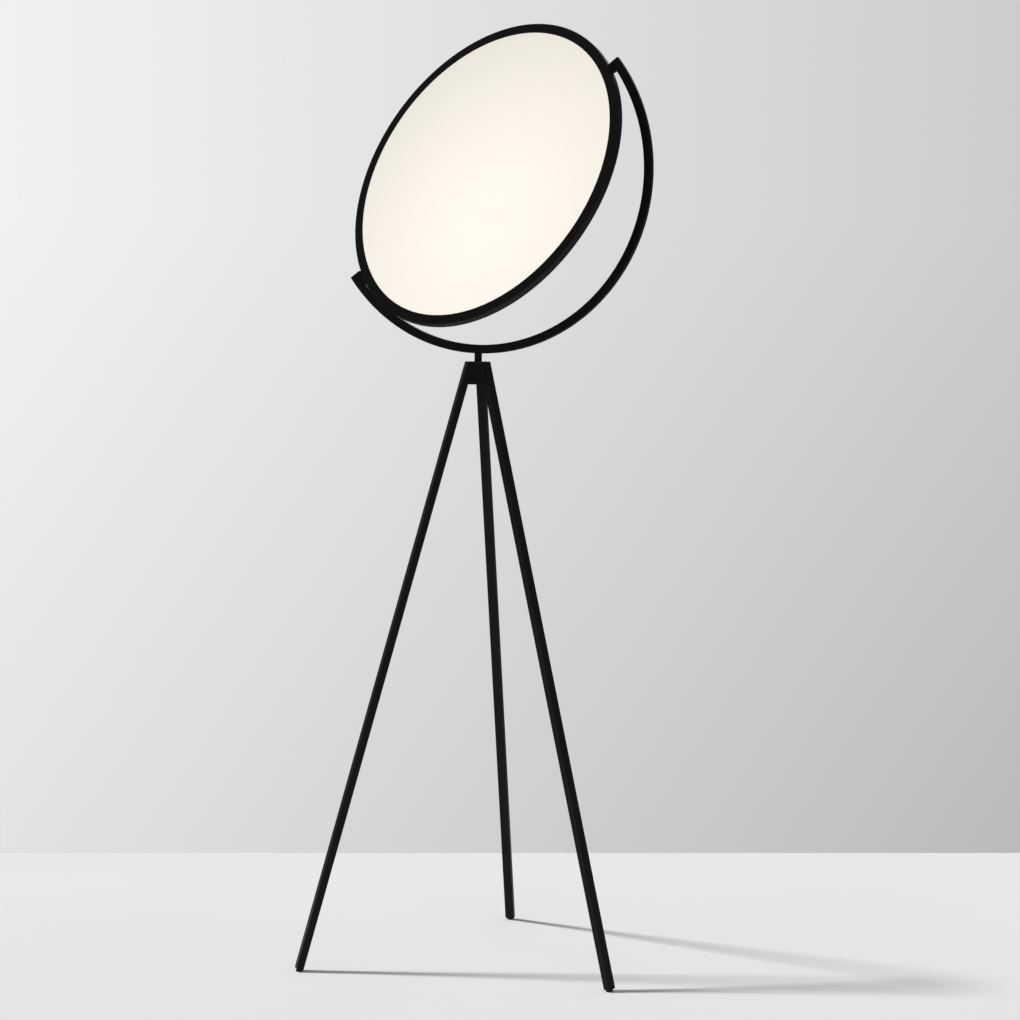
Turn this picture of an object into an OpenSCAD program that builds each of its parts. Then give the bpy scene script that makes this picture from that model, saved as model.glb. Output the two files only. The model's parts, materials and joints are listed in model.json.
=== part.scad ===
// Tripod floor lamp: a light disc tilts between the ends of a half-ring arc,
// and the arc swivels on a short stem in a hub that joins three fixed legs.
// Millimetres, +Z up. The origin is on the floor, in the middle of the
// footprint's box, and the swivel axis stands at (axis_x, axis_y).

/* [Stand] */
// Height of the hub's top face above the floor
stand_h = 1220; // [1000:5:1400]
// Height of the hub
hub_h = 46; // [46:1:60]
// Distance of each leg's centre line from the swivel axis at the floor
foot_r = 365; // [340:5:380]
// Height at which the legs' centre lines meet, above the hub's top face
apex_rise = 62; // [60:1:70]
// Direction of the back leg, turned from the arc's plane
leg_turn = 101; // [80:1:110]
// Width of a leg across its outer face
leg_w = 18.5; // [16:0.5:20]
// Depth of a leg, from its outer to its inner face
leg_t = 14.5; // [13:0.5:15]
// Wall of the leg's tube
leg_wall = 2; // [1.5:0.5:3]
// Radius of a foot pad
pad_r = 6.5; // [5:0.5:7]
// Height of a foot pad
pad_h = 3.5; // [2:0.5:6]

/* [Stem] */
// Diameter of the stem above the hub
stem_d = 15; // [14:0.5:16]
// Length of stem seen between the hub and the arc
stem_gap = 16; // [10:1:40]
// Diameter of the spindle inside the hub
spindle_d = 12; // [11:0.5:12]
// Radial running clearance of the swivel and of the tilt pins
running = 0.05; // [0.02:0.01:0.1]

/* [Arc] */
// Radius of the arc's outer edge
arc_r = 360; // [340:1:380]
// Radial width of the arc's bar
arc_w = 17.5; // [15:0.5:20]
// Thickness of the arc's bar
arc_t = 12; // [12:0.5:16]
// Lean of the tilt axis above the horizontal
arc_lean = 36.5; // [20:0.5:50]
// How far each arc end runs on past the tilt axis
arc_over = 7.5; // [7:0.5:12]
// How far the upper pivot housing runs back along the arc from the tilt axis
housing_run = 12.5; // [8:0.5:20]
// How far the lower one does, which holds the stop screw
stop_housing_run = 20; // [8:0.5:30]
// Distance of the arc's centre from the swivel axis
head_offset = 8; // [0:1:20]

/* [Disc] */
// Gap between the rim and the arc
rim_gap = 8.5; // [8:0.5:12]
// Width of the rim's front ring
rim_w = 20.5; // [18:0.5:24]
// Thickness of the disc
disc_t = 15; // [12:0.5:16]
// Turn of the disc out of the arc's plane at rest
disc_turn = 30; // [0:5:60]
// Whole angle through which the disc can tilt, between its stops
tilt_range = 300; // [180:10:300]
// Number of light-emitting diodes along the edge of the light guide
led_count = 72; // [36:12:96]
// Number of screws that hold the back cover
cover_screw_count = 8; // [6:2:12]

/* [Hidden] */
$fn = 64;

black = [0.03, 0.03, 0.03];
steel = [0.72, 0.72, 0.74];
bronze = [0.62, 0.45, 0.26];
white = [0.96, 0.95, 0.92];
rubber = [0.05, 0.05, 0.05];

apex_h = stand_h + apex_rise;
leg_slope = atan(foot_r / apex_h);
leg_round = 0.8;
leg_cap = 10;               // hub metal above the legs' ends
leg_solid = 16;             // closed length at the foot
foot_round = 4.5;
hub_edge = 1;               // chamfer along the hub's outer edges
leg_top = stand_h - leg_cap;
hub_low = stand_h - hub_h;
screw_rise = [10, 30];      // leg screws, above the hub's underside
screw_bite = 4;             // how far they go into the hub
screw_r = 2.5;
screw_head_r = 4.5;
screw_head_h = 3;

spindle_r = spindle_d / 2;
stem_r = stem_d / 2;
wire_r = 3.2;               // wire way through the stem
bush_r = 8.5;
bush_h = 10;
flange_h = 1.5;
upper_flange_r = 11;
lower_flange_r = 10;
core_h = 26;                // depth of the hub's bore, above its cavity
cavity_r = 14;
cover_r = 20;
cover_t = 3;
cover_pcd_r = 17.5;
cover_bolt_r = 1.25;
grommet_r = 6;
grommet_bore_r = 3.6;
grommet_h = 6;
washer_t = 1;
collar_t = 2.5;
collar_r = 9;
lug_r = 13.5;
lug_angle = 20;
stop_pin_r = 1.5;
stop_pin_at = 12;
nut_t = 5.5;
nut_r = 10.4;
washer_z = stand_h - core_h - flange_h - washer_t;
collar_z = washer_z - collar_t;
wave_z = collar_z - washer_t;
nut_z = wave_z - nut_t;
stem_low = nut_z - 1;

arc_in = arc_r - arc_w;
arc_mid = arc_r - arc_w / 2;
arc_end = asin(arc_over / arc_mid);
housing_end = asin(housing_run / arc_mid);
stop_housing_end = asin(stop_housing_run / arc_mid);
arc_round = 2;
arc_edge = 0.8;             // chamfer round the arc's end faces
head_z = stand_h + stem_gap + arc_r;
stem_angle = 270 - asin(head_offset / arc_r) - arc_lean;
seat_z = head_z - arc_r + 0.6;
spigot_r = 5;
groove_w = 5.4;
groove_deep = 9;
strip_t = 1.6;
lead_r = 1.5;
lead_path_r = arc_in + 6.5;

rim_r = arc_in - rim_gap;
light_r = rim_r - rim_w;
rim_solid = 12;             // width of the rim's solid ring
rim_in = rim_r - rim_solid;
rim_round = 1.5;
rim_wall = 2 * rim_round;   // the thin edge round the back cover
lip_t = 1.5;
cover_plate_t = 1.5;
front = 6;                  // the lit face's height above the tilt axis
back = front - disc_t;
diffuser_z = [front - lip_t - 2.1, front - lip_t - 0.1];
guide_z = [diffuser_z[0] - 3.8, diffuser_z[0] - 0.2];
reflector_z = [guide_z[0] - 0.6, guide_z[0] - 0.2];
back_floor = back + cover_plate_t;
strip_z = [guide_z[0] - 0.6, guide_z[1]];
led_t = 1.3;
board_x = rim_in - 60;
board_long = 39;
lead_low = back_floor + 1.2;
board_lead_r = 1;
lead_turn = rim_in + 3;     // where the disc's lead turns into the hollow pin

pin_r = 3;
pin_in = lead_turn + 2;
pin_out = arc_in + 4;
pin_bore_r = 1.6;
tilt_bush_r = 4;
socket_r = 4.8;
housing_in = rim_r + 0.9;
washer_r = 6.5;
key_r = 2;
stop_screw_r = 0.8;
stop_at = arc_in - 4;
stop_half = asin(stop_screw_r / (key_r + 0.1));
key_groove = tilt_range + 2 * stop_half;
set_screw_x = rim_r - 4.5;
bolt_circle_r = rim_r - 7;

// The swivel axis stands off the origin, so that the origin is the middle of the footprint's box.
face_x = sin(disc_turn) * sin(arc_lean);
reach_right = head_offset + arc_r;
reach_left = rim_r * sqrt(1 - pow(face_x, 2)) - head_offset;
reach_back = foot_r * sin(leg_turn);
reach_front = -foot_r * sin(leg_turn + 120);
axis_x = (reach_left - reach_right) / 2;
axis_y = (reach_front - reach_back) / 2;

// ---------- places ----------

module on_axis() {
    translate([axis_x, axis_y, 0]) children();
}

// Origin at the foot of leg n's centre line, +Z up along the leg, +X out of its outer face
module in_leg(n) {
    rotate([0, 0, leg_turn + 120 * n])
        translate([foot_r, 0, 0]) rotate([0, -leg_slope, 0]) children();
}

// Origin at the head's centre, +X along the tilt axis to the upper arc end, -Y to the front
module in_arc() {
    on_axis() translate([head_offset, 0, head_z]) rotate([0, -arc_lean, 0]) children();
}

// The arc's frame laid flat: the arc's plane is XY
module in_arc_plane() {
    in_arc() rotate([90, 0, 0]) children();
}

// Origin at the head's centre, +X along the tilt axis, +Z out of the lit face
module in_disc() {
    in_arc() rotate([90 - disc_turn, 0, 0]) children();
}

// +Z along the tilt axis, outwards; side is 1 for the upper arc end and -1 for the lower
module to_end(side) {
    rotate([0, 90 * side, 0]) children();
}

// ---------- shapes ----------

module rounded_rectangle(w, h, r) {
    square([w - 2 * r, h], center = true);
    square([w, h - 2 * r], center = true);
    for (x = [-1, 1], y = [-1, 1])
        translate([x * (w / 2 - r), y * (h / 2 - r)]) circle(r);
}

module disc(r, z_low, z_high) {
    translate([0, 0, z_low]) cylinder(r = r, h = z_high - z_low, $fn = 180);
}

// A part of a ring, from angle a1 to a2, with a rectangular section
module ring_sector(r_out, r_in, z_low, z_high, a1, a2) {
    rotate([0, 0, a1]) rotate_extrude(angle = a2 - a1, $fn = 180)
        translate([r_in, z_low]) square([r_out - r_in, z_high - z_low]);
}

// ---------- stand ----------

// Distance from the swivel axis of a leg's face at height z; side is 1 outside, -1 inside
function leg_face(z, side) = foot_r + (side * leg_t / 2 - z * sin(leg_slope)) / cos(leg_slope);

module leg_bar(n) {
    in_leg(n) translate([0, 0, -20]) linear_extrude(apex_h) rounded_rectangle(leg_t, leg_w, leg_round);
}

module leg_hollow(n) {
    deep = leg_t - 2 * leg_wall;
    wide = leg_w - 2 * leg_wall;
    in_leg(n) translate([-deep / 2, -wide / 2, leg_solid]) cube([deep, wide, apex_h]);
}

module slab(z_low, z_high) {
    translate([-2 * foot_r, -2 * foot_r, z_low]) cube([4 * foot_r, 4 * foot_r, z_high - z_low]);
}

// What a round corner takes off: the leg's outer edge where it meets the bottom cut
module foot_corner(n) {
    corner = 90 - leg_slope;
    run = foot_round / tan(corner / 2);
    rotate([0, 0, leg_turn + 120 * n]) translate([leg_face(pad_h, 1), 0, pad_h])
        rotate([90, 0, 0]) linear_extrude(2 * leg_w, center = true) difference() {
            polygon([[1, -1], [-run, -1], [-run, foot_round],
                [-run * sin(leg_slope), run * cos(leg_slope)],
                [1 - run * sin(leg_slope), run * cos(leg_slope)]]);
            translate([-run, foot_round]) circle(foot_round + 0.02);
        }
}

module leg_screw_places(n) {
    for (rise = screw_rise)
        in_leg(n) translate([leg_t / 2, 0, (hub_low + rise) / cos(leg_slope)])
            rotate([0, -90, 0]) children();
}

module leg_screw(extra = 0) {
    translate([0, 0, -extra]) cylinder(r = screw_head_r, h = screw_head_h + extra);
    cylinder(r = screw_r, h = leg_t + screw_bite);
}

module pad_place(n) {
    rotate([0, 0, leg_turn + 120 * n])
        translate([foot_r - pad_h * tan(leg_slope) - 0.5, 0, 0]) children();
}

module pad_stud() {
    translate([0, 0, pad_h - 1]) cylinder(r = 2.5, h = 9);
}

module leg(n) {
    on_axis() color(black) difference() {
        intersection() {
            leg_bar(n);
            slab(pad_h, leg_top);
        }
        leg_hollow(n);
        foot_corner(n);
        leg_screw_places(n) leg_screw(1);
        pad_place(n) pad_stud();
    }
}

module foot_pad(n) {
    edge = 0.8;
    on_axis() color(rubber) pad_place(n) {
        rotate_extrude() {
            translate([0, edge]) square([pad_r, pad_h - edge]);
            square([pad_r - edge, pad_h]);
            translate([pad_r - edge, edge]) circle(edge);
        }
        pad_stud();
    }
}

module leg_back() { leg(0); }
module leg_left() { leg(1); }
module leg_right() { leg(2); }
module foot_pad_back() { foot_pad(0); }
module foot_pad_left() { foot_pad(1); }
module foot_pad_right() { foot_pad(2); }

module leg_screws() {
    on_axis() color(black) for (n = [0:2]) leg_screw_places(n) difference() {
        leg_screw();
        translate([0, 0, -1]) cylinder(r = 2, h = 3, $fn = 6);
    }
}

// What lies beyond a plane that passes reach from the swivel axis at height z and leans in as it rises
module beyond(turn, reach, z, lean) {
    far = 60;
    rotate([0, 0, turn]) translate([reach, 0, z]) rotate([0, -lean, 0])
        translate([0, -far, -far]) cube([far, 2 * far, 2 * far]);
}

// The faces straight over a leg and midway between two legs meet along the legs' outer
// corners; the faces at 30 degrees take those edges off.
module hub_block() {
    difference() {
        translate([0, 0, hub_low]) cylinder(r = 50, h = hub_h);
        for (n = [0:2], turn = [-30, 0, 30, 60]) {
            inset = abs(turn) == 30 ? hub_edge / 2 : 0;
            reach = leg_face(stand_h, 1) * cos(turn) + leg_w / 2 * sin(abs(turn)) - inset;
            lean = atan(tan(leg_slope) * cos(turn));
            side = leg_turn + 120 * n + turn;
            beyond(side, reach, stand_h, lean);
            beyond(side, reach - hub_edge, stand_h, 45);
            if (turn == 60) beyond(side, reach + hub_h * tan(lean) - hub_edge, hub_low, -45);
        }
    }
}

module cover_screw_places() {
    for (n = [0:2]) rotate([0, 0, leg_turn + 120 * n + 60])
        translate([cover_pcd_r, 0, hub_low]) children();
}

module hub() {
    on_axis() color(black) difference() {
        hub_block();
        for (n = [0:2]) {
            intersection() {
                in_leg(n) translate([-leg_t / 2, -leg_w / 2, 0]) cube([2 * leg_t, leg_w, apex_h]);
                slab(0, leg_top);
            }
            leg_screw_places(n) leg_screw(1);
        }
        translate([0, 0, stand_h - core_h - 1]) cylinder(r = bush_r, h = core_h + 2);
        translate([0, 0, stand_h - flange_h]) cylinder(r = upper_flange_r, h = flange_h + 1);
        translate([0, 0, hub_low - 1]) cylinder(r = cavity_r, h = hub_h - core_h + 1);
        translate([0, 0, hub_low - 1]) cylinder(r = cover_r, h = cover_t + 1);
        cover_screw_places() cylinder(r = cover_bolt_r, h = 12);
        stop_pin_shape();
    }
}

module bush(flange_r) {
    difference() {
        union() {
            cylinder(r = bush_r, h = bush_h);
            cylinder(r = flange_r, h = flange_h);
        }
        translate([0, 0, -1]) cylinder(r = spindle_r + running, h = bush_h + 2);
    }
}

module swivel_bush_upper() {
    on_axis() color(bronze) translate([0, 0, stand_h]) mirror([0, 0, 1]) bush(upper_flange_r);
}

module swivel_bush_lower() {
    on_axis() color(bronze) translate([0, 0, stand_h - core_h - flange_h]) bush(lower_flange_r);
}

module stop_pin_shape() {
    rotate([0, 0, 90]) translate([stop_pin_at, 0, stand_h - core_h - 5])
        cylinder(r = stop_pin_r, h = 10);
}

module swivel_stop_pin() {
    on_axis() color(steel) stop_pin_shape();
}

module hub_cover() {
    on_axis() color(black) difference() {
        translate([0, 0, hub_low]) cylinder(r = cover_r - 0.1, h = cover_t);
        translate([0, 0, hub_low - 1]) cylinder(r = grommet_r, h = cover_t + 2);
        cover_screw_places() cover_screw(1);
    }
}

module cover_screw(extra = 0) {
    translate([0, 0, -extra]) cylinder(r = 2.2, h = 1.5 + extra);
    cylinder(r = cover_bolt_r, h = 9);
}

module hub_cover_screws() {
    on_axis() color(black) cover_screw_places() difference() {
        cover_screw();
        translate([0, 0, -1]) cylinder(r = 1, h = 1.8, $fn = 6);
    }
}

module cable_grommet() {
    on_axis() color(rubber) translate([0, 0, hub_low]) difference() {
        union() {
            cylinder(r = grommet_r, h = grommet_h);
            translate([0, 0, cover_t]) cylinder(r = grommet_r + 1.5, h = grommet_h - cover_t);
        }
        translate([0, 0, -1]) cylinder(r = grommet_bore_r, h = grommet_h + 2);
    }
}

// ---------- stem and swivel ----------

module stem() {
    on_axis() color(black) difference() {
        union() {
            translate([0, 0, stand_h + 0.1]) cylinder(r = stem_r, h = seat_z - stand_h - 0.1);
            translate([0, 0, stem_low]) cylinder(r = spindle_r, h = stand_h - stem_low + 1);
            translate([0, 0, seat_z - 1]) cylinder(r = spigot_r, h = arc_w - groove_deep + 0.4);
        }
        translate([0, 0, stem_low - 1]) cylinder(r = wire_r, h = head_z - stem_low);
    }
}

module spindle_ring(z, h) {
    on_axis() translate([0, 0, z]) difference() {
        children();
        translate([0, 0, -1]) cylinder(r = spindle_r, h = h + 2);
    }
}

module thrust_washer() {
    color(steel) spindle_ring(washer_z, washer_t)
        cylinder(r = lower_flange_r, h = washer_t);
}

module stop_collar() {
    color(steel) spindle_ring(collar_z, collar_t) union() {
        cylinder(r = collar_r, h = collar_t);
        ring_sector(lug_r, collar_r - 1, 0, collar_t, 270 - lug_angle / 2, 270 + lug_angle / 2);
    }
}

module wave_washer() {
    color(steel) spindle_ring(wave_z, washer_t) cylinder(r = collar_r, h = washer_t);
}

module stem_nut() {
    color(steel) spindle_ring(nut_z, nut_t) cylinder(r = nut_r, h = nut_t, $fn = 6);
}

// ---------- arc ----------

module arc_ring(a1, a2) {
    rotate([0, 0, a1]) rotate_extrude(angle = a2 - a1, $fn = 180)
        translate([arc_mid, 0]) rounded_rectangle(arc_w, arc_t, arc_round);
}

// What the chamfers take off an arc end and the pivot housing in it
module end_edges(side) {
    far = 2 * arc_w;
    in_arc_plane() mirror([side < 0 ? 1 : 0, 0, 0]) rotate([0, 0, arc_end]) {
        translate([arc_r - arc_edge, 0, 0]) rotate([0, 0, 45]) translate([0, -far, -far])
            cube([far, 2 * far, 2 * far]);
        translate([housing_in + arc_edge, 0, 0]) rotate([0, 0, 135]) translate([0, -far, -far])
            cube([far, 2 * far, 2 * far]);
        for (face = [-1, 1])
            translate([arc_in, 0, face * (arc_t / 2 - arc_edge)]) rotate([45 * face, 0, 0])
                translate([-far, 0, -far]) cube([2 * far, far, 2 * far]);
    }
}

module arc() {
    color(black) difference() {
        in_arc_plane() arc_ring(180 - arc_end, 360 + arc_end);
        in_arc_plane() ring_sector(arc_in + groove_deep, arc_in - 1,
            -groove_w / 2, groove_w / 2, stem_angle - 1, 360);
        on_axis() translate([0, 0, seat_z - 5]) cylinder(r = stem_r, h = 5);
        on_axis() translate([0, 0, seat_z - 1]) cylinder(r = spigot_r, h = arc_w - groove_deep + 1.4);
        for (side = [-1, 1]) {
            in_arc() to_end(side) {
                translate([0, 0, arc_in - 1]) cylinder(r = socket_r, h = 5);
                translate([0, 0, arc_in]) cylinder(r = tilt_bush_r, h = 10);
            }
            end_edges(side);
        }
    }
}

module arc_cover_strip() {
    color(black) in_arc_plane() ring_sector(arc_in + strip_t, arc_in,
        -groove_w / 2 + 0.1, groove_w / 2 - 0.1, stem_angle - 1, 360 - housing_end);
}

module arc_lead() {
    bend_z = head_z - sqrt(pow(lead_path_r, 2) - pow(head_offset, 2));
    color("dimgray") {
        on_axis() translate([0, 0, stem_low]) cylinder(r = lead_r, h = bend_z - stem_low);
        on_axis() translate([0, 0, bend_z]) sphere(lead_r);
        in_arc_plane() rotate([0, 0, stem_angle]) rotate_extrude(angle = 359.5 - stem_angle, $fn = 180)
            translate([lead_path_r, 0]) circle(lead_r);
    }
}

// Ring-shaped block that fills the gap at an arc end, and its socket in the arc
module pivot_housing(side) {
    angles = side > 0 ? [-housing_end, arc_end] : [180 - arc_end, 180 + stop_housing_end];
    difference() {
        in_arc() {
            rotate([90, 0, 0]) ring_sector(arc_in, housing_in, -arc_t / 2, arc_t / 2, angles[0], angles[1]);
            to_end(side) translate([0, 0, arc_in - 1]) cylinder(r = socket_r, h = 5);
        }
        in_arc() to_end(side) translate([0, 0, housing_in - 1]) cylinder(r = tilt_bush_r, h = 20);
        in_arc() if (side < 0) stop_screw_hole();
        end_edges(side);
    }
}

module stop_screw_hole() {
    to_end(-1) translate([0, 0, stop_at]) rotate([-90, 0, 0])
        cylinder(r = stop_screw_r, h = arc_t);
}

module pivot_housing_upper() { color(black) pivot_housing(1); }
module pivot_housing_lower() { color(black) pivot_housing(-1); }

module pivot_bush(side) {
    in_arc() difference() {
        to_end(side) translate([0, 0, housing_in + 0.3]) difference() {
            cylinder(r = tilt_bush_r, h = pin_out - housing_in - 0.3);
            translate([0, 0, -1]) cylinder(r = pin_r + running, h = pin_out - housing_in + 2);
        }
        if (side < 0) stop_screw_hole();
    }
}

module pivot_bush_upper() { color(bronze) pivot_bush(1); }
module pivot_bush_lower() { color(bronze) pivot_bush(-1); }

module tilt_stop_screw() {
    color(steel) in_arc() to_end(-1) translate([0, 0, stop_at]) rotate([-90, 0, 0])
        translate([0, 0, key_r + 0.1]) cylinder(r = stop_screw_r, h = arc_t / 2 - key_r - 0.3);
}

// ---------- disc ----------

module rim_section() {
    translate([rim_r - rim_round, back + rim_round]) circle(rim_round);
    translate([rim_r - rim_round, front - rim_round]) circle(rim_round);
    translate([rim_r - rim_wall, back + rim_round]) square([rim_wall, disc_t - 2 * rim_round]);
    translate([rim_r - rim_wall, back]) square([rim_wall - rim_round, disc_t]);
    translate([rim_in, back_floor]) square([rim_r - rim_in - rim_round, front - back_floor]);
    translate([light_r + lip_t / 2, front - lip_t]) square([rim_w - rim_round - lip_t / 2, lip_t]);
    translate([light_r + lip_t / 2, front - lip_t / 2]) circle(lip_t / 2);
}

module back_screw_places() {
    for (i = [0:cover_screw_count - 1])
        rotate([0, 0, (i + 0.5) * 360 / cover_screw_count])
            translate([bolt_circle_r, 0, back]) children();
}

module back_screw(extra = 0) {
    translate([0, 0, -extra]) cylinder(r = 2.6, h = 1.1 + extra);
    cylinder(r = 1.45, h = 7);
}

module rim() {
    color(black) in_disc() difference() {
        rotate_extrude($fn = 360) rim_section();
        back_screw_places() back_screw();
        for (side = [-1, 1]) to_end(side) {
            translate([0, 0, rim_in - 1]) cylinder(r = pin_r, h = disc_t + 2);
            translate([0, 0, set_screw_x]) rotate([0, 90 * side, 0]) cylinder(r = 1.5, h = disc_t);
        }
        translate([rim_in - 1, -2.5, back_floor - 1]) cube([pin_in - rim_in + 1, 5, 1 - back_floor]);
    }
}

module diffuser() {
    color([1, 0.98, 0.93]) in_disc() disc(rim_in - 0.3, diffuser_z[0], diffuser_z[1]);
}

module light_guide() {
    color([0.9, 0.94, 0.95]) in_disc() disc(rim_in - 2.5, guide_z[0], guide_z[1]);
}

module reflector() {
    color(white) in_disc() disc(rim_in - 1, reflector_z[0], reflector_z[1]);
}

module led_strip() {
    color("gold") in_disc() ring_sector(rim_in, rim_in - 0.4, strip_z[0], strip_z[1], 3, 357);
}

module leds() {
    color("lightyellow") in_disc() for (i = [0:led_count - 1])
        rotate([0, 0, (i + 0.5) * 360 / led_count])
            translate([rim_in - 0.4 - led_t, -1.5, guide_z[0] + 0.8]) cube([led_t, 3, 2]);
}

module retaining_ring() {
    color(white) in_disc() ring_sector(rim_in - 0.6, rim_in - 22,
        back_floor + 0.1, reflector_z[0], 6, 354);
}

module back_cover() {
    color(black) in_disc() difference() {
        disc(rim_r - rim_wall - 0.2, back, back_floor);
        back_screw_places() back_screw(1);
    }
}

module back_cover_screws() {
    color(black) in_disc() back_screw_places() difference() {
        back_screw();
        translate([0, 0, -1]) cylinder(r = 1.2, h = 1.8, $fn = 6);
    }
}

module pivot_pin_upper() {
    color(steel) in_disc() to_end(1) difference() {
        translate([0, 0, pin_in]) cylinder(r = pin_r, h = pin_out - pin_in);
        translate([0, 0, pin_in - 1]) cylinder(r = pin_bore_r, h = pin_out - pin_in + 2);
    }
}

module pivot_pin_lower() {
    color(steel) in_disc() to_end(-1) difference() {
        translate([0, 0, pin_in]) cylinder(r = pin_r, h = pin_out - pin_in);
        translate([0, 0, stop_at]) rotate([0, 0, 180])
            ring_sector(pin_r + 1, key_r, -stop_screw_r - 0.1, stop_screw_r + 0.1,
                -key_groove / 2, key_groove / 2);
    }
}

module pivot_washers() {
    color(steel) in_disc() for (side = [-1, 1]) to_end(side)
        translate([0, 0, rim_r]) difference() {
            cylinder(r = washer_r, h = 0.8);
            translate([0, 0, -1]) cylinder(r = pin_r, h = 3);
        }
}

module pin_set_screws() {
    color(steel) in_disc() for (side = [-1, 1])
        translate([side * set_screw_x, 0, back_floor]) difference() {
            cylinder(r = 1.5, h = -back_floor - pin_r);
            translate([0, 0, -1]) cylinder(r = 0.7, h = 1.8, $fn = 6);
        }
}

module disc_lead() {
    color("dimgray") in_disc() {
        to_end(1) translate([0, 0, lead_turn])
            cylinder(r = board_lead_r, h = pin_out - lead_turn - 0.5);
        translate([lead_turn, 0, 0]) sphere(board_lead_r);
        translate([lead_turn, 0, lead_low]) cylinder(r = board_lead_r, h = -lead_low);
        translate([lead_turn, 0, lead_low]) sphere(board_lead_r);
        translate([board_x + board_long, 0, lead_low]) rotate([0, 90, 0])
            cylinder(r = board_lead_r, h = lead_turn - board_x - board_long);
    }
}

module lead_board() {
    color("darkgreen") in_disc() translate([board_x, -10, back_floor + 0.2])
        cube([board_long, 20, 1.6]);
}

hub();
leg_left();
leg_right();
leg_back();
foot_pad_left();
foot_pad_right();
foot_pad_back();
leg_screws();
swivel_bush_upper();
swivel_bush_lower();
swivel_stop_pin();
hub_cover();
hub_cover_screws();
cable_grommet();
stem();
thrust_washer();
stop_collar();
wave_washer();
stem_nut();
arc();
arc_cover_strip();
arc_lead();
pivot_housing_upper();
pivot_housing_lower();
pivot_bush_upper();
pivot_bush_lower();
tilt_stop_screw();
rim();
diffuser();
light_guide();
reflector();
led_strip();
leds();
retaining_ring();
back_cover();
back_cover_screws();
pivot_pin_upper();
pivot_pin_lower();
pivot_washers();
pin_set_screws();
disc_lead();
lead_board();
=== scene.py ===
"""Tripod floor lamp: the materials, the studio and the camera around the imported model.

Everything is in metres in the model's own frame: +Z up, the origin on the floor. Patterns are laid out in
each piece's own coordinates, which are that frame at rest, so they ride with the piece when it moves.
"""

import json
import math

import bpy
from mathutils import Matrix, Vector


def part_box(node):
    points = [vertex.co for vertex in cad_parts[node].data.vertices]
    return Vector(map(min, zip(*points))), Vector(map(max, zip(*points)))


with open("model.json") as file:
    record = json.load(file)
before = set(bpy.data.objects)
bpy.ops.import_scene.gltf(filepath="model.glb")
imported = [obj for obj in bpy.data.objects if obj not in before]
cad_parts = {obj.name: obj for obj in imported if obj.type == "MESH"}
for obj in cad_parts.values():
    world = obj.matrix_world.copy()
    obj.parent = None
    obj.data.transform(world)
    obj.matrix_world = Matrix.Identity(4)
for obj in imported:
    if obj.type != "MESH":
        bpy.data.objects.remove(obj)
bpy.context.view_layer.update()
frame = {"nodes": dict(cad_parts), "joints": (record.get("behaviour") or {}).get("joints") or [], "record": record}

# ---------- places, from the frame ----------

stem_low, stem_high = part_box("stem")
swivel_axis = Vector(((stem_low.x + stem_high.x) / 2, (stem_low.y + stem_high.y) / 2, 0))
light_low, light_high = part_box("diffuser")
light_centre = (light_low + light_high) / 2


def joint_axis(name):
    """The direction of a joint's axis at rest."""
    joint = next(j for j in frame["joints"] if j["name"] == name)
    return Vector(joint["axis"]).normalized()


def lit_face():
    """The direction at rest that the diffuser's front looks in."""
    faces = frame["nodes"]["diffuser"].data.polygons
    return max((face for face in faces if face.normal.y < 0), key=lambda face: face.area).normal.copy()


tilt_axis = joint_axis("disc_tilt")
face_normal = lit_face()


# ---------- camera ----------

CAMERA_DISTANCE = 4.980     # level distance from the swivel axis
CAMERA_ROUND = 23.86        # degrees round from the front, towards +X
CAMERA_HEIGHT = 1.257       # above the floor
CAMERA_PAN = -0.77          # degrees, to the left is positive
CAMERA_TILT = -3.86         # degrees, up is positive
CAMERA_ROLL = 0.56          # degrees
LENS = 87.19                # millimetres, on a sensor of SENSOR millimetres
SENSOR = 36.0


def make_camera():
    """The camera, aimed by its turn from straight at the swivel axis, then its tilt and its roll."""
    round_angle = math.radians(CAMERA_ROUND)
    back = Vector((math.sin(round_angle), -math.cos(round_angle), 0))
    turn = Matrix.Rotation(round_angle + math.radians(CAMERA_PAN), 4, "Z")
    lift = Matrix.Rotation(math.radians(90 + CAMERA_TILT), 4, "X")
    roll = Matrix.Rotation(math.radians(CAMERA_ROLL), 4, "Z")
    data = bpy.data.cameras.new("camera")
    data.lens = LENS
    data.sensor_width = SENSOR
    camera = bpy.data.objects.new("camera", data)
    place = swivel_axis + back * CAMERA_DISTANCE + Vector((0, 0, CAMERA_HEIGHT))
    camera.matrix_world = Matrix.Translation(place) @ turn @ lift @ roll
    bpy.context.scene.collection.objects.link(camera)
    bpy.context.scene.camera = camera


make_camera()


# ---------- materials ----------

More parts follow.
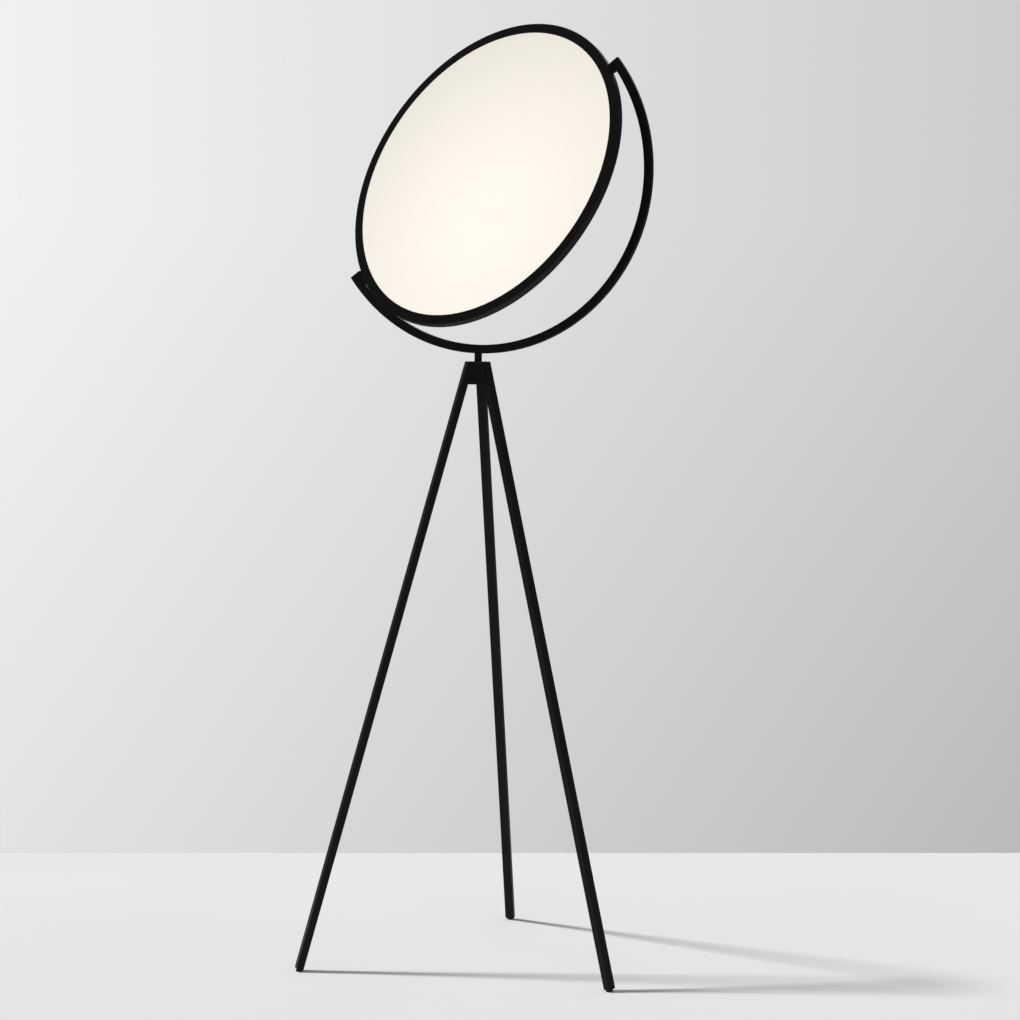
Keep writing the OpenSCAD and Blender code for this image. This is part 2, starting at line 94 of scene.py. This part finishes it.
class Shader:
    """One material's node tree, with short calls for the nodes that the materials share."""

    def __init__(self, name, **values):
        """A Principled shader, with values for its sockets given by the sockets' names in lower case."""
        self.material = bpy.data.materials.new(name)
        self.material.use_nodes = True
        self.tree = self.material.node_tree
        self.bsdf = self.tree.nodes["Principled BSDF"]
        for socket, value in values.items():
            self.bsdf.inputs[socket.replace("_", " ").title().replace("Ior", "IOR")].default_value = value
        self.place = self.node("ShaderNodeTexCoord").outputs["Object"]

    def node(self, kind, settings=None, **inputs):
        """A new node, with its settings and its inputs by name."""
        made = self.tree.nodes.new(kind)
        for key, value in (settings or {}).items():
            setattr(made, key, value)
        for key, value in inputs.items():
            self.feed(made.inputs[key.replace("_", " ")], value)
        return made

    def feed(self, socket, value):
        """Links value to the socket if it is an output, and otherwise sets it there."""
        if isinstance(value, bpy.types.NodeSocket):
            self.tree.links.new(value, socket)
        else:
            socket.default_value = value

    def noise(self, size, detail=2.0, rough=0.5, stretch=None):
        """Noise from 0 to 1 whose features are about size metres across."""
        place = self.place
        if stretch is not None:
            place = self.node("ShaderNodeMapping", Vector=place, Scale=stretch).outputs[0]
        return self.node("ShaderNodeTexNoise", Vector=place, Scale=1 / size, Detail=detail,
                         Roughness=rough).outputs[0]

    def cells(self, size, feature="F1"):
        """Distance to the nearest of many scattered points that are about size metres apart."""
        return self.node("ShaderNodeTexVoronoi", {"feature": feature}, Vector=self.place,
                         Scale=1 / size).outputs["Distance"]

    def math(self, operation, a, b=0.0, c=0.0):
        made = self.tree.nodes.new("ShaderNodeMath")
        made.operation = operation
        for socket, value in zip(made.inputs, (a, b, c)):
            self.feed(socket, value)
        return made.outputs[0]

    def remap(self, value, low, high, from_low=0.3, from_high=0.7):
        """value, taken from its own range to low..high, held at both ends."""
        made = self.tree.nodes.new("ShaderNodeMapRange")
        for socket, number in zip(made.inputs, (value, from_low, from_high, low, high)):
            self.feed(socket, number)
        return made.outputs[0]

    def ramp(self, value, *stops):
        """A colour ramp through (position, (r, g, b)) stops."""
        made = self.node("ShaderNodeValToRGB", Fac=value)
        steps = made.color_ramp.elements
        while len(steps) < len(stops):
            steps.new(0.5)
        for step, (position, colour) in zip(steps, stops):
            step.position = position
            step.color = (*colour, 1)
        return made.outputs[0]

    def bump(self, *layers, edge=0.0):
        """Bump from (height, depth in metres) layers, one on another, with edges rounded to radius edge."""
        normal = self.node("ShaderNodeBevel", {"samples": 4}, Radius=edge).outputs[0] if edge else None
        for height, depth in layers:
            made = self.node("ShaderNodeBump", Height=height, Distance=depth)
            if normal is not None:
                self.feed(made.inputs["Normal"], normal)
            normal = made.outputs[0]
        self.feed(self.bsdf.inputs["Normal"], normal)

    def set(self, socket, value):
        self.feed(self.bsdf.inputs[socket], value)


def offset_along(s, origin, across):
    """How far the shaded point lies from origin, measured along the direction across."""
    apart = s.node("ShaderNodeVectorMath", {"operation": "SUBTRACT"})
    s.feed(apart.inputs[0], s.place)
    s.feed(apart.inputs[1], origin)
    along = s.node("ShaderNodeVectorMath", {"operation": "DOT_PRODUCT"})
    s.feed(along.inputs[0], apart.outputs[0])
    s.feed(along.inputs[1], across)
    return along.outputs["Value"]


COAT_EDGE = 0.0006          # how far the coat rounds an edge over


def black_powder_coat(name, tone, rough, grain):
    """Satin black powder coat: orange peel, a finer grain, a slow drift in gloss and a few pale dust nibs."""
    s = Shader(name, specular_ior_level=0.15)
    drift = s.noise(0.12, 3)
    speck = s.noise(grain * 0.4, 1)
    nibs = s.remap(s.cells(grain * 9), 1.0, 0.0, 0.04, 0.07)
    dark, light = (0.5 * tone,) * 3, (1.7 * tone, 1.7 * tone, 1.75 * tone)
    coat = s.ramp(s.math("MULTIPLY", s.math("ADD", drift, speck), 0.5), (0.35, dark), (0.65, light))
    nib_tone = s.node("ShaderNodeMix", {"data_type": "RGBA"})
    s.feed(nib_tone.inputs[0], s.math("MULTIPLY", nibs, 0.5))
    s.feed(nib_tone.inputs[6], coat)
    s.feed(nib_tone.inputs[7], (4 * tone, 4 * tone, 4 * tone, 1))
    s.set("Base Color", nib_tone.outputs[2])
    s.set("Roughness", s.remap(s.math("ADD", s.math("MULTIPLY", drift, 0.7), s.math("MULTIPLY", speck, 0.3)),
                               rough - 0.08, rough + 0.08))
    s.bump((s.cells(grain, "SMOOTH_F1"), grain * 0.10), (speck, grain * 0.03), (nibs, grain * 0.06),
           edge=COAT_EDGE)
    return s.material


def black_oxide():
    """Black oxide on screw heads: dark metal with turning marks and a rubbed, browner bloom."""
    s = Shader("black_oxide", metallic=0.85, specular_ior_level=0.4)
    bloom = s.noise(0.002, 3)
    fine = s.noise(0.00025, 1)
    s.set("Base Color", s.ramp(bloom, (0.3, (0.010, 0.010, 0.011)), (0.7, (0.022, 0.020, 0.019))))
    s.set("Roughness", s.remap(bloom, 0.34, 0.5))
    s.bump((fine, 0.00001))
    return s.material


def rubber():
    """Moulded black rubber: matt, faintly mottled, with a fine spark-eroded texture."""
    s = Shader("rubber", specular_ior_level=0.3, sheen_weight=0.06, sheen_roughness=0.5)
    mottle = s.noise(0.004, 4)
    s.set("Base Color", s.ramp(mottle, (0.3, (0.012, 0.012, 0.012)), (0.7, (0.022, 0.022, 0.021))))
    s.set("Roughness", s.remap(mottle, 0.72, 0.88))
    s.bump((s.cells(0.0005), 0.00003), (s.noise(0.0002), 0.00001))
    return s.material


def sintered_bronze():
    """Oil-soaked sintered bronze: open pores, darker where the oil sits."""
    s = Shader("sintered_bronze", metallic=0.9)
    pores = s.cells(0.0006)
    stain = s.noise(0.004, 3)
    s.set("Base Color", s.ramp(stain, (0.3, (0.27, 0.14, 0.055)), (0.7, (0.46, 0.27, 0.12))))
    s.set("Roughness", s.remap(stain, 0.36, 0.55))
    s.bump((pores, 0.00004))
    return s.material


def turned_steel():
    """Turned steel: fine lines round the part and a slightly clouded finish."""
    s = Shader("turned_steel", metallic=1.0, anisotropic=0.5)
    lines = s.noise(0.003, 2, stretch=(1, 1, 18))
    cloud = s.noise(0.006, 3)
    s.set("Base Color", s.ramp(cloud, (0.3, (0.46, 0.46, 0.47)), (0.7, (0.62, 0.62, 0.63))))
    s.set("Roughness", s.remap(lines, 0.2, 0.36))
    s.bump((lines, 0.000008))
    return s.material


HOT_SPOT = (-0.035, -0.125)     # where the light face is brightest, along the tilt axis and up the face
GLOW_FALL = 5.0                 # 1 over the squared distance at which the glow is at its low end
GLOW_HIGH = (0.948, 0.897, 0.804)
GLOW_LOW = (0.765, 0.728, 0.640)


def opal_diffuser():
    """Opal acrylic, lit from behind: warm white, brightest low in the middle and dimmer at the top."""
    s = Shader("opal_diffuser", roughness=0.42, specular_ior_level=0.3)
    x = s.math("SUBTRACT", offset_along(s, light_centre, tilt_axis), HOT_SPOT[0])
    y = s.math("SUBTRACT", offset_along(s, light_centre, face_normal.cross(tilt_axis)), HOT_SPOT[1])
    far = s.math("ADD", s.math("MULTIPLY", x, x), s.math("MULTIPLY", y, y))
    mist = s.math("MULTIPLY", s.noise(0.05, 2), 0.02)
    glow = s.ramp(s.math("MULTIPLY_ADD", far, GLOW_FALL, mist), (0.0, GLOW_HIGH), (1.0, GLOW_LOW))
    s.set("Base Color", s.ramp(s.noise(0.03, 2), (0.3, (0.142, 0.140, 0.134)), (0.7, (0.156, 0.154, 0.148))))
    s.set("Emission Color", glow)
    s.bsdf.inputs["Emission Strength"].default_value = 1.0
    s.bump((s.noise(0.0004, 1), 0.000006))
    return s.material


def light_guide():
    """Clear acrylic with a faint green cast and the printed dots that turn the light outwards."""
    s = Shader("light_guide_acrylic", ior=1.49, transmission_weight=0.85)
    dots = s.cells(0.003)
    s.set("Base Color", s.ramp(dots, (0.18, (0.95, 0.96, 0.95)), (0.22, (0.86, 0.93, 0.92))))
    s.set("Roughness", s.remap(dots, 0.5, 0.04, 0.18, 0.22))
    s.bump((dots, 0.00002))
    return s.material


def white_film():
    """Matt white reflector film: a faint cloud and a paper-like tooth."""
    s = Shader("white_film", specular_ior_level=0.25)
    cloud = s.noise(0.02, 3)
    s.set("Base Color", s.ramp(cloud, (0.3, (0.80, 0.80, 0.785)), (0.7, (0.87, 0.87, 0.86))))
    s.set("Roughness", s.remap(cloud, 0.62, 0.75))
    s.bump((s.noise(0.0005, 2), 0.00001))
    return s.material


def circuit_board(name, mask, mask_light):
    """Solder mask over copper, with the raised line of a track here and there."""
    s = Shader(name, specular_ior_level=0.5, coat_weight=0.25, coat_roughness=0.25)
    tracks = s.cells(0.006, "DISTANCE_TO_EDGE")
    s.set("Base Color", s.ramp(tracks, (0.0, mask_light), (0.06, mask_light), (0.09, mask), (1.0, mask)))
    s.set("Roughness", s.remap(s.noise(0.001, 2), 0.32, 0.46))
    s.bump((s.remap(tracks, 1.0, 0.0, 0.06, 0.09), 0.00003))
    return s.material


def led_phosphor():
    """Yellow phosphor under clear resin, lit."""
    s = Shader("led_phosphor", specular_ior_level=0.6)
    grains = s.noise(0.0004, 2)
    s.set("Base Color", s.ramp(grains, (0.3, (0.75, 0.60, 0.16)), (0.7, (0.92, 0.78, 0.30))))
    s.set("Roughness", s.remap(grains, 0.2, 0.34))
    s.bsdf.inputs["Emission Color"].default_value = (1.0, 0.86, 0.58, 1)
    s.bsdf.inputs["Emission Strength"].default_value = 4.0
    s.bump((grains, 0.00001))
    return s.material


def lead_sheath():
    """Soft grey sheath of a round lead, with faint lengthways flow lines."""
    s = Shader("lead_sheath", specular_ior_level=0.35)
    flow = s.noise(0.0012, 2, stretch=(1, 1, 0.15))
    s.set("Base Color", s.ramp(flow, (0.3, (0.075, 0.075, 0.078)), (0.7, (0.11, 0.11, 0.112))))
    s.set("Roughness", s.remap(flow, 0.45, 0.6))
    s.bump((flow, 0.00002))
    return s.material


def dress():
    """Puts each CAD node's finish in its material slots."""
    stand_coat = black_powder_coat("powder_coat_steel", 0.0034, 0.46, 0.0013)
    head_coat = black_powder_coat("powder_coat_aluminium", 0.0032, 0.42, 0.0010)
    oxide = black_oxide()
    foot_rubber = rubber()
    bronze = sintered_bronze()
    steel = turned_steel()
    film = white_film()
    sheath = lead_sheath()
    finishes = [
        (stand_coat, ["hub", "leg_left", "leg_right", "leg_back", "hub_cover", "stem"]),
        (head_coat, ["arc", "arc_cover_strip", "pivot_housing_upper", "pivot_housing_lower", "rim",
                     "back_cover"]),
        (oxide, ["leg_screws", "hub_cover_screws", "back_cover_screws", "pivot_washers"]),
        (foot_rubber, ["foot_pad_left", "foot_pad_right", "foot_pad_back", "cable_grommet"]),
        (bronze, ["swivel_bush_upper", "swivel_bush_lower", "pivot_bush_upper", "pivot_bush_lower"]),
        (steel, ["swivel_stop_pin", "thrust_washer", "stop_collar", "wave_washer", "stem_nut",
                 "tilt_stop_screw", "pivot_pin_upper", "pivot_pin_lower", "pin_set_screws"]),
        (opal_diffuser(), ["diffuser"]),
        (light_guide(), ["light_guide"]),
        (film, ["reflector", "retaining_ring"]),
        (circuit_board("strip_board", (0.78, 0.78, 0.75), (0.55, 0.42, 0.2)), ["led_strip"]),
        (circuit_board("lead_board_mask", (0.015, 0.09, 0.035), (0.03, 0.16, 0.06)), ["lead_board"]),
        (led_phosphor(), ["leds"]),
        (sheath, ["arc_lead", "disc_lead"]),
    ]
    dressed = set()
    for material, nodes in finishes:
        for name in nodes:
            for slot in frame["nodes"][name].material_slots:
                slot.material = material
            dressed.add(name)
    bare = set(frame["nodes"]) - dressed
    if bare:
        raise ValueError(f"no finish for {sorted(bare)}")


dress()


# ---------- studio ----------

FLOOR_ROUND = 25.8          # degrees from +X to the line of the floor's far edge
FLOOR_BEHIND = 1.052        # from the swivel axis to that edge
FLOOR_FRONT = 9.0           # from the swivel axis to the near edge
FLOOR_SIDE = 9.0            # and to each side
FLOOR_PAINTED_LIGHT_NEAR_AT = -0.7        # from the swivel axis, where the floor's painted light has its near, dimmer tone
# painted light: the floor's colour goes from a dimmer near tone to a brighter far one
FLOOR_PAINTED_LIGHT_NEAR = (0.79,) * 3
FLOOR_PAINTED_LIGHT_FAR = (0.84,) * 3
WALL_PAINTED_LIGHT_SPAN = 0.21            # sine of the angle either side over which the wall's painted light changes
# painted light: the wall is painted lighter on the left and darker on the right
WALL_PAINTED_LIGHT_LEFT = 0.885
WALL_PAINTED_SHADE_RIGHT = 0.598
WALL_PAINTED_SHADE_LOW, WALL_PAINTED_SHADE_UP = -0.20, 0.05     # sines of the heights between which painted shade darkens the wall's foot
WALL_FOOT_PAINTED_SHADE = -0.112          # what the painted shade takes off the tone at the lower of them
AMBIENT_LOW = 0.18          # the soft light from the horizon
AMBIENT_HIGH = 0.36         # and from straight above
KEY_ROUND = 193             # degrees from +X, where the key light stands
KEY_HEIGHT = 51             # degrees above the floor
KEY_SPREAD = 6              # degrees across, which sets how soft the shadows are
KEY_STRENGTH = 2.8
KEY_COLOUR = (1.0, 0.995, 0.985)
FILL_ROUND = 100            # the fill stands behind the lamp
FILL_HEIGHT = 42
FILL_SPREAD = 50
FILL_STRENGTH = 0.6
FILL_COLOUR = (1.0, 1.0, 1.0)


def level_pair(degrees):
    """The level direction that is degrees round from +X, and the one a quarter turn further on."""
    turn = math.radians(degrees)
    return Vector((math.cos(turn), math.sin(turn), 0)), Vector((-math.sin(turn), math.cos(turn), 0))


def make_floor():
    """A flat floor with its far edge behind the lamp, and painted light that brightens its tone slowly from front
    to back.
    """
    right, away = level_pair(FLOOR_ROUND)
    corners = [(-FLOOR_SIDE, -FLOOR_FRONT), (FLOOR_SIDE, -FLOOR_FRONT), (FLOOR_SIDE, FLOOR_BEHIND),
               (-FLOOR_SIDE, FLOOR_BEHIND)]
    mesh = bpy.data.meshes.new("floor")
    mesh.from_pydata([swivel_axis + right * x + away * y for x, y in corners], [], [(0, 1, 2, 3)])
    floor = bpy.data.objects.new("floor", mesh)
    bpy.context.scene.collection.objects.link(floor)
    s = Shader("floor_paint", specular_ior_level=0.15)
    tone = s.noise(0.5, 2)
    # painted light: the base colour brightens from the near tone to the far one, with a little random variation
    depth = s.remap(offset_along(s, swivel_axis, away), 0.0, 1.0, FLOOR_PAINTED_LIGHT_NEAR_AT, FLOOR_BEHIND)
    s.set("Base Color", s.ramp(s.math("MULTIPLY_ADD", tone, 0.3, depth), (0.0, FLOOR_PAINTED_LIGHT_NEAR),
                               (1.0, FLOOR_PAINTED_LIGHT_FAR)))
    s.set("Roughness", s.remap(tone, 0.7, 0.8))
    s.bump((s.noise(0.002, 2), 0.00002))
    mesh.materials.append(s.material)
    return floor


def group(name, objects):
    """A collection that only a light's linking uses."""
    made = bpy.data.collections.new(name)
    for item in objects:
        made.objects.link(item)
    return made


def make_sun(name, degrees_round, height, spread, strength, colour, lit, blockers):
    """Soft parallel light from one side, on the objects in lit and held back only by those in blockers."""
    data = bpy.data.lights.new(name, "SUN")
    data.angle = math.radians(spread)
    data.energy = strength
    data.color = colour
    sun = bpy.data.objects.new(name, data)
    level = level_pair(degrees_round)[0] * math.cos(math.radians(height))
    source = level + Vector((0, 0, math.sin(math.radians(height))))
    sun.rotation_mode = "QUATERNION"
    sun.rotation_quaternion = source.to_track_quat("Z", "Y")
    sun.light_linking.receiver_collection = group(name + "_lights", lit)
    sun.light_linking.blocker_collection = group(name + "_blockers", blockers)
    bpy.context.scene.collection.objects.link(sun)


def make_suns(floor):
    """A key on the stand and floor that throws the legs' shadows, and a wide, weak fill from behind."""
    nodes = frame["nodes"]
    stand = [nodes[name] for name in frame["record"]["behaviour"]["bodies"]["stand"]]
    legs = [node for name, node in nodes.items() if name.startswith(("leg_", "foot_pad_"))]
    make_sun("key", KEY_ROUND, KEY_HEIGHT, KEY_SPREAD, KEY_STRENGTH, KEY_COLOUR, [floor, *stand], legs)
    make_sun("fill", FILL_ROUND, FILL_HEIGHT, FILL_SPREAD, FILL_STRENGTH, FILL_COLOUR, nodes.values(),
             nodes.values())


def make_world():
    """Dim soft light all round, behind a pale wall tone that only the camera sees.

    The wall tone carries painted light, lighter on the left, and painted shade, a little dimmer towards its foot.
    """
    world = bpy.data.worlds.new("studio")
    bpy.context.scene.world = world
    world.use_nodes = True
    tree = world.node_tree
    nodes, links = tree.nodes, tree.links
    background = nodes["Background"]
    direction = nodes.new("ShaderNodeTexCoord").outputs["Generated"]
    right = level_pair(CAMERA_ROUND + CAMERA_PAN)[0]

    def dot(vector):
        made = nodes.new("ShaderNodeVectorMath")
        made.operation = "DOT_PRODUCT"
        links.new(direction, made.inputs[0])
        made.inputs[1].default_value = vector
        return made.outputs["Value"]

    def spread(value, from_low, from_high, low, high):
        made = nodes.new("ShaderNodeMapRange")
        links.new(value, made.inputs[0])
        for socket, number in zip(list(made.inputs)[1:5], (from_low, from_high, low, high)):
            socket.default_value = number
        return made.outputs[0]

    def add(a, b):
        made = nodes.new("ShaderNodeMath")
        made.operation = "ADD"
        links.new(a, made.inputs[0])
        links.new(b, made.inputs[1])
        return made.outputs[0]

    # painted light across the wall, lighter on the left, and painted shade darkening its foot
    across = spread(dot(right), -WALL_PAINTED_LIGHT_SPAN, WALL_PAINTED_LIGHT_SPAN, WALL_PAINTED_LIGHT_LEFT, WALL_PAINTED_SHADE_RIGHT)
    up = dot(Vector((0, 0, 1)))
    wall = add(across, spread(up, WALL_PAINTED_SHADE_LOW, WALL_PAINTED_SHADE_UP, WALL_FOOT_PAINTED_SHADE, 0.0))
    soft = spread(up, 0.0, 1.0, AMBIENT_LOW, AMBIENT_HIGH)
    seen = nodes.new("ShaderNodeLightPath").outputs["Is Camera Ray"]
    pick = nodes.new("ShaderNodeMix")
    for place, source in ((0, seen), (2, soft), (3, wall)):
        links.new(source, pick.inputs[place])
    links.new(pick.outputs[0], background.inputs["Color"])
    background.inputs["Strength"].default_value = 1.0


make_suns(make_floor())
make_world()
bpy.context.scene.view_settings.view_transform = "Standard"
